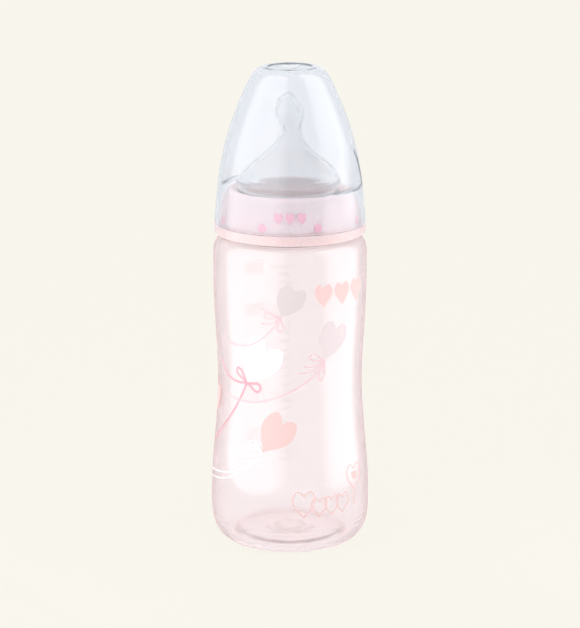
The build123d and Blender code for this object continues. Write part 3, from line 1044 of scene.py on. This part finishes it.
@dataclass
class Teat:
    """Silicone teat: a flange, a groove for the ring's mouth, a flared dome and a slanted nipple.

    Attributes:
        flange: Radius, underside and top of the flange.
        groove: Radius and top of the groove.
        wall: Thickness of the wall.
        slices: Height, reach to -X, reach to +X and half depth along Y of the dome and nipple.
        top: Height of the tip.
        hole: Radius of the feed hole.
    """

    flange: tuple[float, float, float] = (25.2, 145.5, 147.5)
    groove: tuple[float, float] = (21.2, 149.7)
    wall: float = 1.5
    slices: tuple[tuple[float, float, float, float], ...] = (
        (152.6, -22.2, 22.2, 22.2),
        (155.0, -21.0, 21.0, 21.0),
        (158.0, -18.1, 18.1, 18.1),
        (161.2, -14.4, 14.4, 14.4),
        (164.6, -10.3, 10.1, 10.4),
        (167.8, -6.9, 6.9, 7.7),
        (171.0, -4.4, 5.0, 6.0),
        (174.0, -3.4, 4.8, 5.5),
        (177.2, -4.9, 5.3, 6.3),
        (181.2, -6.8, 5.8, 7.6),
        (184.4, -6.1, 4.3, 7.2),
        (186.8, -4.6, 3.2, 5.7),
        (188.4, -2.9, 2.4, 3.7),
    )
    top: float = 189.3
    hole: float = 0.5

    def nipple(self) -> list[np.ndarray]:
        """Slices of the dome and nipple's outer face, close enough together to look smooth."""
        return smooth_curve(self.slices, start=(1, 0, 0, 0), per_span=5)

    def outer(self) -> list[Point]:
        """Slices of the outer face, from the flange's underside up to the feed hole."""
        flange_r, low, high = self.flange
        groove_r, groove_top = self.groove
        turned = HalfSection().to(groove_r - self.wall, low).to(flange_r, low, 0.35).to(flange_r, high, 0.35)
        turned.to(groove_r, high, 0.3).to(groove_r, groove_top)
        dome = (self.slices[0][2], self.slices[0][0])
        turned.curve([(groove_r, groove_top), dome], start=(0.7, 1), end=(0, 1))
        round_part = [(z, -r, r, r) for r, z in turned.points()[:-1]]
        tip = [(self.top - 0.12, -1.4, 1.2, 1.9), (self.top, -self.hole, self.hole, self.hole)]
        return round_part + self.nipple() + tip

    def inner(self) -> list[Point]:
        """Slices of the inner face, from the feed hole down to the flange's underside.

        A slice's inset is measured level, so a sloping wall gets more of it, up to 1.5 times. Two
        ever smaller slices close the tip, from 1.4 mm below its inner face.
        """
        nipple = self.nipple()
        made = []
        for before, here, after in zip(nipple, nipple[1:], nipple[2:]):
            height, left, right, depth = here
            if height > self.top - self.wall - 1.4:
                break
            slope = (after[2] - before[2]) / (after[0] - before[0])
            inset = self.wall * min(math.hypot(1, slope), 1.5)
            made.append((height, left + inset, right - inset, depth - inset))
        last = made[-1]
        low_r = self.groove[0] - self.wall
        tip = self.top - self.wall
        made += [(tip - 0.3, *(0.6 * reach for reach in last[1:]))]
        made += [(tip, *(0.25 * reach for reach in last[1:])), (tip, -self.hole, self.hole, self.hole)]
        return made[::-1] + [(self.groove[1], -low_r, low_r, low_r)]

    def add_slice(self, mesh: bmesh.types.BMesh, slice_at: Point) -> list[bmesh.types.BMEdge]:
        """Adds one oval loop, and returns its edges."""
        height, left, right, depth = slice_at
        place = Matrix.Translation(((left + right) / 2, 0, height))
        stretch = Matrix.Diagonal(((right - left) / 2, depth, 1, 1))
        made = bmesh.ops.create_circle(mesh, segments=AROUND, radius=1.0, matrix=place @ stretch)
        return list({edge for vert in made["verts"] for edge in vert.link_edges})

    def build(self) -> bpy.types.Object:
        """The teat, as one closed skin of bridged ovals."""
        mesh = bmesh.new()
        loops = [self.add_slice(mesh, slice_at) for slice_at in self.outer() + self.inner()]
        for lower, upper in zip(loops, loops[1:] + loops[:1]):
            bmesh.ops.bridge_loops(mesh, edges=lower + upper)
        return finished(mesh, "teat_skin", Body.TEAT, CLEAR_SILICONE.material(), ["teat"])


# ---------------------------------------------------------------------------------------- cap


@dataclass
class ProtectiveCap:
    """Clear domed cap with two flat finger grips and a round recess on top.

    Attributes:
        side: (radius, height) points of the outer face, from the rim to the flat top.
        wall: Thickness of the dome.
        recess: Radius and depth of the recess.
        grip_azimuth: Where one grip is; the other is opposite.
        grip_face: Distance of a grip's flat face from the axis.
        grip_ledge: Height of the ledge below it.
        grip_wall: Thickness of the wall behind it.
        heart: Size of the raised heart, how far its root is in the recess's floor, and how far its
            top is above its root.
    """

    side: tuple[Point, ...] = (
        (31.1, 135.8), (30.75, 141.0), (29.95, 150.0), (28.5, 160.0), (26.3, 170.0), (23.1, 180.0),
        (19.4, 189.0), (16.2, 195.5), (14.3, 198.2), (12.4, 199.5), (10.4, 200.0),
    )
    wall: float = 1.2
    recess: tuple[float, float] = (9.2, 0.4)
    grip_azimuth: float = 61.5
    grip_face: float = 26.6
    grip_ledge: float = 151.4
    grip_wall: float = 1.0
    heart: tuple[float, float, float] = (9.0, 0.05, 0.35)

    def dome(self) -> list[np.ndarray]:
        """Outer face, from the rim to the flat top."""
        return smooth_curve(self.side, start=(0, 1), end=(-1, 0), per_span=4)

    def outer(self) -> list[Point]:
        """Outer face, from the rim up to the middle of the recess."""
        radius, depth = self.recess
        top = self.side[-1][1]
        dome = self.dome()
        edge = HalfSection().to(*dome[-1]).to(radius, top, 0.15).to(radius - 0.15, top - depth, 0.15)
        return dome + edge.to(0, top - depth).points()[1:]

    def inner(self) -> list[Point]:
        """Inner face, from the rim up to the middle, a wall's thickness inside the outer one."""
        dome = self.dome()
        before = [dome[0] - (0, 1)] + dome[:-1]
        after = dome[1:] + [dome[-1] - (1, 0)]
        made = []
        for low, here, high in zip(before, dome, after):
            along = (high - low) / np.linalg.norm(high - low)
            made.append(here + np.array((-along[1], along[0])) * self.wall)
        return made + [np.array((0, made[-1][1]))]

    def cut_grip(self, mesh: bmesh.types.BMesh, azimuth: float, face: float, ledge: float) -> None:
        """Cuts one flat grip with a ledge into a face of the dome.

        Args:
            mesh: The outer or the inner face, as an open skin.
            azimuth: Where the grip is.
            face: Distance of the flat from the axis.
            ledge: Height of the ledge.
        """
        outward = polar(azimuth, 1, 0)
        bmesh.ops.bisect_plane(
            mesh, geom=mesh.verts[:] + mesh.edges[:] + mesh.faces[:],
            plane_co=(0, 0, ledge), plane_no=(0, 0, 1),
        )
        above = [f for f in mesh.faces if f.calc_center_median().z > ledge]
        near = [f for f in above if f.calc_center_median().dot(outward) > 0]
        parts = {item for f in near for item in (*f.verts, *f.edges)}
        bmesh.ops.bisect_plane(mesh, geom=[*parts, *near], plane_co=outward * face, plane_no=outward)
        gone = [
            f for f in mesh.faces
            if f.calc_center_median().z > ledge and f.calc_center_median().dot(outward) > face
        ]
        rim = {e for f in gone for e in f.edges if any(other not in gone for other in e.link_faces)}
        bmesh.ops.delete(mesh, geom=gone, context="FACES")
        level = [e for e in rim if all(abs(v.co.z - ledge) < 1e-3 for v in e.verts)]
        upright = [e for e in rim if e not in level]
        ends = {v for e in level for v in e.verts} & {v for e in upright for v in e.verts}
        chord = mesh.edges.new(list(ends))
        for edges in (level, upright):
            bmesh.ops.edgenet_fill(mesh, edges=[*edges, chord])

    def skin(self, section: Sequence[Point], face: float, ledge: float) -> bpy.types.Mesh:
        """Mesh of one face of the dome, with both grips cut into it."""
        mesh = bmesh.new()
        turn(mesh, section)
        bmesh.ops.remove_doubles(mesh, verts=mesh.verts, dist=MERGED_UNDER)
        for azimuth in (self.grip_azimuth, self.grip_azimuth + 180):
            self.cut_grip(mesh, azimuth, face, ledge)
        data = bpy.data.meshes.new("cap_face")
        mesh.to_mesh(data)
        mesh.free()
        return data

    def build_mark(self) -> bpy.types.Object:
        """A small heart, raised from the floor of the recess."""
        mesh = bmesh.new()
        floor = self.side[-1][1] - self.recess[1]
        size, sunk, height = self.heart
        add_flat(mesh, heart_outline(size), Matrix.Translation((0, -5.0, floor - sunk)))
        bmesh.ops.translate(mesh, vec=(0, 0, height), verts=list(thicken(mesh)))
        return finished(mesh, "cap_heart", Body.CAP, FROSTED_CAP_PP.material())

    def build(self) -> bpy.types.Object:
        """The cap and its raised heart."""
        mesh = bmesh.new()
        faces = [
            self.skin(self.outer(), self.grip_face, self.grip_ledge),
            self.skin(self.inner(), self.grip_face - self.grip_wall, self.grip_ledge - self.grip_wall),
        ]
        for data in faces:
            mesh.from_mesh(data)
            bpy.data.meshes.remove(data)
        open_rims = [edge for edge in mesh.edges if edge.is_boundary]
        bmesh.ops.bridge_loops(mesh, edges=open_rims)
        self.build_mark()
        return finished(mesh, "cap_shell", Body.CAP, CLEAR_CAP_PP.material(), ["protective_cap"])


# ------------------------------------------------------------------------------------- studio


@dataclass(frozen=True)
class Glow:
    """How bright a lit surface is to each kind of ray, 1 being the backdrop as the camera sees it.

    Attributes:
        onto: To the matt surfaces that it lights.
        mirrored: In reflections.
        through: Seen through the clear plastic.
        inside: To the matt surfaces that it lights through the clear plastic.
        seen: To the camera.
    """

    onto: float
    mirrored: float
    through: float = 1.0
    inside: float = 1.0
    seen: float = 1.0

    def strength(self, tree: bpy.types.NodeTree) -> bpy.types.NodeSocket:
        """Adds the nodes that choose the strength, and returns their last socket."""
        ray = add_node(tree, "ShaderNodeLightPath")
        lighting = add_node(tree, "ShaderNodeMath", {"operation": "MINIMUM"}, {
            0: ray.outputs["Diffuse Depth"], 1: 1.0,
        })
        behind = add_node(tree, "ShaderNodeMix", inputs={
            0: lighting.outputs["Value"], 2: self.through, 3: self.inside,
        })
        level: bpy.types.NodeSocket | float = self.onto
        choices = (
            ("Is Glossy Ray", self.mirrored),
            ("Is Transmission Ray", behind.outputs[0]),
            ("Is Camera Ray", self.seen),
        )
        for kind, value in choices:
            chosen = add_node(tree, "ShaderNodeMix", inputs={0: ray.outputs[kind], 2: level, 3: value})
            level = chosen.outputs[0]
        return level

    def tone(self, tree: bpy.types.NodeTree, seen: str) -> bpy.types.NodeSocket:
        """Adds the nodes that show one colour to the camera and cool white to the rest."""
        ray = add_node(tree, "ShaderNodeLightPath")
        tone = add_node(tree, "ShaderNodeMix", {"data_type": "RGBA"}, {
            0: ray.outputs["Is Camera Ray"], 6: linear("FCFDFF"), 7: linear(seen),
        })
        return tone.outputs[2]


@dataclass(frozen=True)
class LightCard:
    """A glowing card that stands by the bottle, brightest in its middle, unseen through plastic.

    Attributes:
        name: The card's name.
        azimuth: Where it stands.
        size: Its width and height in metres.
        bright: Its brightness in the middle.
        dim: Its brightness at the sides.
        distance: Metres from the bottle's axis.
    """

    name: str
    azimuth: float
    size: tuple[float, float]
    bright: Glow
    dim: Glow
    distance: float = 0.13

    def material(self) -> bpy.types.Material:
        """White light that falls off softly to both sides."""
        material, tree, output = new_tree(self.name)
        place = add_node(tree, "ShaderNodeTexCoord").outputs["Object"]
        across = add_node(tree, "ShaderNodeSeparateXYZ", inputs={"Vector": place}).outputs["X"]
        off = add_node(tree, "ShaderNodeMath", {"operation": "ABSOLUTE"}, {0: across})
        fall = add_node(tree, "ShaderNodeMapRange", {"interpolation_type": "SMOOTHSTEP"}, {
            "Value": off.outputs["Value"], "From Min": 0.15 * self.size[0], "From Max": 0.5 * self.size[0],
        })
        level = add_node(tree, "ShaderNodeMix", inputs={
            0: fall.outputs["Result"], 2: self.bright.strength(tree), 3: self.dim.strength(tree),
        })
        light = add_node(tree, "ShaderNodeEmission", inputs={"Strength": level.outputs[0]})
        tree.links.new(light.outputs["Emission"], output.inputs["Surface"])
        return material

    def build(self) -> None:
        """Stands the card up, out of the camera's sight."""
        mesh = bmesh.new()
        bmesh.ops.create_grid(mesh, x_segments=2, y_segments=2, size=0.5)
        bmesh.ops.scale(mesh, vec=(*self.size, 1), verts=mesh.verts)
        card = placed(mesh, self.name, self.material())
        card.matrix_world = (
            Matrix.Translation(polar(self.azimuth, self.distance, self.size[1] / 2 + 0.002))
            @ Matrix.Rotation(math.radians(self.azimuth), 4, "Z")
            @ Matrix.Rotation(math.radians(-90), 4, "X")
        )
        card.visible_camera = False
        card.visible_transmission = False


@dataclass
class Studio:
    """Pale sweep, soft light cards and the camera.

    Attributes:
        backdrop: sRGB hex colour of the sweep.
        camera: Where the camera stands, in metres.
        pitch: How far it looks down, in degrees.
        lens: Focal length in millimetres, for a sensor 36 mm high.
        floor: Brightness of the floor.
        room: Brightness of the room above it.
        floor_glow: Share of the floor's light that is its own and not reflected.
        cards: The light cards.
    """

    backdrop: str = "F9F6ED"
    camera: tuple[float, float, float] = (0.0, -1.0, 0.3525)
    pitch: float = 14.39
    lens: float = 141.9
    floor: Glow = Glow(onto=0.92, mirrored=0.85, through=0.98, inside=2.5)
    room: Glow = Glow(onto=0.92, mirrored=0.9, through=0.98, inside=2.5)
    floor_glow: float = 0.93
    cards: tuple[LightCard, ...] = (
        LightCard("left_card", -55, (0.38, 0.6), bright=Glow(1.3, 3.9), dim=Glow(0.9, 0.8)),
        LightCard("right_card", 80, (0.22, 0.6), bright=Glow(1.3, 3.9), dim=Glow(0.9, 0.8)),
    )

    def build_camera(self) -> None:
        """Puts the camera up, level across, with no shift and no depth of field."""
        data = bpy.data.cameras.new("camera")
        data.sensor_fit = "VERTICAL"
        data.sensor_height = 36.0
        data.lens = self.lens
        data.clip_start, data.clip_end = 0.05, 30.0
        camera = bpy.data.objects.new("camera", data)
        camera.location = self.camera
        camera.rotation_euler = (math.radians(90 - self.pitch), 0, 0)
        bpy.context.scene.collection.objects.link(camera)
        bpy.context.scene.camera = camera

    def build_floor(self) -> None:
        """Lays the pale floor, which glows so that it stays even."""
        mesh = bmesh.new()
        bmesh.ops.create_grid(mesh, x_segments=8, y_segments=8, size=4.0)
        material, tree, output = new_tree("matt_cream_paper")
        paper = add_node(tree, "ShaderNodeBsdfDiffuse", inputs={"Color": linear(self.backdrop)})
        glow = add_node(tree, "ShaderNodeEmission", inputs={
            "Color": self.floor.tone(tree, self.backdrop), "Strength": self.floor.strength(tree),
        })
        mixed = add_node(tree, "ShaderNodeMixShader", inputs={
            0: self.floor_glow, 1: paper.outputs["BSDF"], 2: glow.outputs["Emission"],
        })
        tree.links.new(mixed.outputs["Shader"], output.inputs["Surface"])
        placed(mesh, "floor", material)

    def build_world(self) -> None:
        """Fills the room with soft white light, and shows the backdrop's colour to the camera."""
        world = bpy.data.worlds.new("studio_room")
        bpy.context.scene.world = world
        world.use_nodes = True
        tree = world.node_tree
        tree.nodes.clear()
        light = add_node(tree, "ShaderNodeBackground", inputs={
            "Color": self.room.tone(tree, self.backdrop), "Strength": self.room.strength(tree),
        })
        output = add_node(tree, "ShaderNodeOutputWorld")
        tree.links.new(light.outputs["Background"], output.inputs["Surface"])

    def build(self) -> None:
        """Sets up the whole studio."""
        self.build_camera()
        self.build_floor()
        self.build_world()
        for card in self.cards:
            card.build()
        scene = bpy.context.scene
        scene.view_settings.view_transform = "Standard"
        scene.cycles.max_bounces = 64
        scene.cycles.diffuse_bounces = 12
        scene.cycles.glossy_bounces = 24
        scene.cycles.transmission_bounces = 64
        scene.cycles.transparent_max_bounces = 16


def main() -> None:
    """Builds the bottle from the inside out, and the studio round it."""
    logging.basicConfig(level=logging.INFO, format="%(name)s: %(message)s")
    bottle = Bottle()
    bottle.build()
    BalloonPrint(bottle).build()
    VolumeScale(bottle).build()
    Teat().build()
    ScrewRing().build()
    ProtectiveCap().build()
    Studio().build()


if __name__ == "__main__":
    main()
